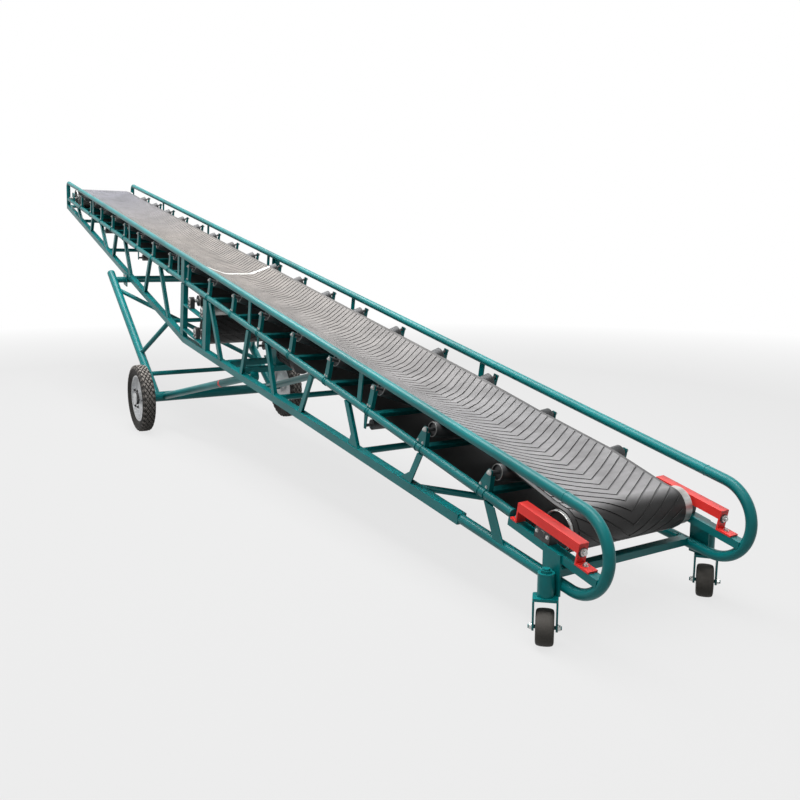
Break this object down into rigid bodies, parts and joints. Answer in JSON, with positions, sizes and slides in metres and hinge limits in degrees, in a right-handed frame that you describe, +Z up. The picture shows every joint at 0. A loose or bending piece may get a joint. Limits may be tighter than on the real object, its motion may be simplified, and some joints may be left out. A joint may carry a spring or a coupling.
{
  "type": "mobile belt conveyor",
  "caption": "Inclined mobile belt conveyor: tube truss with a troughed chevron belt, strutted axle with road wheels and swivel casters under the loading end.",
  "frame": {"origin": "on the floor under the middle of the overall box", "axes": "+X towards the low loading end, +Y to the right-hand side seen from that end's left, +Z up"},
  "size_m": [9.832, 1.514, 2.5272],
  "materials": {
    "frame_green": "gloss enamel",
    "take_up_red": "gloss enamel",
    "belt_rubber": "dusty chevron rubber",
    "tyre_rubber": "dusty rubber",
    "caster_rubber": "worn solid rubber",
    "roller_steel": "worn steel",
    "bright_steel": "zinc plated",
    "rim_silver": "silver paint",
    "bearing_iron": "painted casting"
  },
  "bodies": {
    "chassis": {"axle": "frame_green", "belt_carrying_run": "belt_rubber", "belt_return_run": "belt_rubber", "bend_drums": "roller_steel", "bottom_chord_head": "frame_green", "bottom_chord_tail": "frame_green", "caster_plates": "frame_green", "caster_sleeves": "frame_green", "centre_rollers": "roller_steel", "chain_case": "bearing_iron", "cross_ties": "frame_green", "drag_arms": "frame_green", "drive_drum": "roller_steel", "drive_motor": "bearing_iron", "drive_posts": "frame_green", "drive_shelves": "frame_green", "drum_bearings": "bearing_iron", "gear_reducer": "frame_green", "head_bearings": "frame_green", "head_bends": "frame_green", "head_drum": "roller_steel", "idler_brackets": "frame_green", "idler_cross_bars": "frame_green", "lower_tubes": "frame_green", "mid_chords": "frame_green", "motor_seat": "frame_green", "pivot_pins": "bright_steel", "plan_braces": "frame_green", "rail_posts": "frame_green", "return_rollers": "roller_steel", "roller_hangers": "frame_green", "saddle_plates": "frame_green", "saddle_shaft": "frame_green", "strut_bracing": "frame_green", "strut_stays": "frame_green", "struts": "frame_green", "tail_cross_bar": "frame_green", "tail_drum": "roller_steel", "tail_hoops": "frame_green", "take_up_beams": "take_up_red", "take_up_blocks": "bearing_iron", "take_up_screws": "bright_steel", "take_up_seats": "frame_green", "top_rails": "frame_green", "web_gussets": "frame_green", "web_members": "frame_green", "wing_rollers": "roller_steel"},
    "wheel_left": {"tyre_left": "tyre_rubber", "rim_left": "rim_silver"},
    "caster_left": {"caster_fork_left": "frame_green"},
    "caster_wheel_left": {"caster_tyre_left": "caster_rubber", "caster_hub_left": "bearing_iron"},
    "wheel_right": {"tyre_right": "tyre_rubber", "rim_right": "rim_silver"},
    "caster_right": {"caster_fork_right": "frame_green"},
    "caster_wheel_right": {"caster_tyre_right": "caster_rubber", "caster_hub_right": "bearing_iron"}
  },
  "joints": [
    {"name": "wheel_left_spin", "type": "hinge", "parent": "chassis", "child": "wheel_left", "pos_m": [-0.54651, -0.697, 0.298], "axis": [0, 1, 0], "continuous": true},
    {"name": "caster_left_swivel", "type": "hinge", "parent": "chassis", "child": "caster_left", "pos_m": [4.62542, -0.476, 0.2], "axis": [0, 0, 1], "continuous": true},
    {"name": "caster_wheel_left_spin", "type": "hinge", "parent": "caster_left", "child": "caster_wheel_left", "pos_m": [4.63285, -0.48269, 0.075], "axis": [-0.6691, -0.7431, 0], "continuous": true},
    {"name": "wheel_right_spin", "type": "hinge", "parent": "chassis", "child": "wheel_right", "pos_m": [-0.54651, 0.697, 0.298], "axis": [0, 1, 0], "continuous": true},
    {"name": "caster_right_swivel", "type": "hinge", "parent": "chassis", "child": "caster_right", "pos_m": [4.62542, 0.476, 0.2], "axis": [0, 0, 1], "continuous": true},
    {"name": "caster_wheel_right_spin", "type": "hinge", "parent": "caster_right", "child": "caster_wheel_right", "pos_m": [4.63184, 0.46834, 0.075], "axis": [-0.766, -0.6428, 0], "continuous": true}
  ]
}
